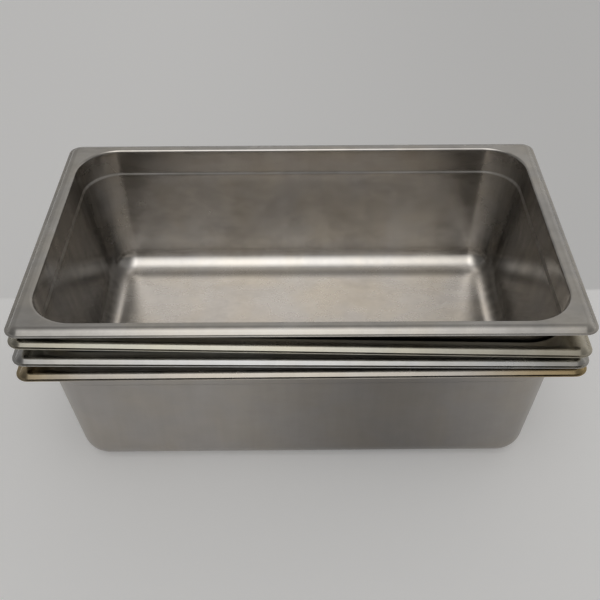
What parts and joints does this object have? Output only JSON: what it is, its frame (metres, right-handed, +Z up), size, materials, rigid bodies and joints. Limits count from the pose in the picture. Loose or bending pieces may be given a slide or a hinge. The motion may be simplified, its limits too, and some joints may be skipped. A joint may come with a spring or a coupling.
{
  "type": "deli food pan",
  "caption": "Stack of nested full-size deep rectangular food pans in satin stainless steel: drawn bowls with a stacking shoulder, flat flange and sloped rim, each lifting out of the one below.",
  "frame": {"origin": "centre of the underside of the bottom pan's floor", "axes": "+X along the length of the pans, +Y across them, +Z up, the way the pans lift out"},
  "size_m": [0.5309, 0.325, 0.2067],
  "materials": {
    "steel_bottom_pan": "satin stainless steel with a straw-coloured heat tint at the ends of the rim",
    "steel_third_pan": "satin stainless steel",
    "steel_second_pan": "satin stainless steel, slightly yellowed",
    "steel_top_pan": "satin stainless steel with a mottled, water-marked floor"
  },
  "bodies": {
    "bottom": {"bottom_pan": "steel_bottom_pan"},
    "third": {"third_pan": "steel_third_pan"},
    "second": {"second_pan": "steel_second_pan"},
    "top": {"top_pan": "steel_top_pan"}
  },
  "joints": [
    {"name": "third_lift", "type": "slide", "parent": "bottom", "child": "third", "axis": [0, 0, 1], "range_m": [0, 0.16]},
    {"name": "second_lift", "type": "slide", "parent": "third", "child": "second", "axis": [0, 0, 1], "range_m": [0, 0.16]},
    {"name": "top_lift", "type": "slide", "parent": "second", "child": "top", "axis": [0, 0, 1], "range_m": [0, 0.16]}
  ]
}
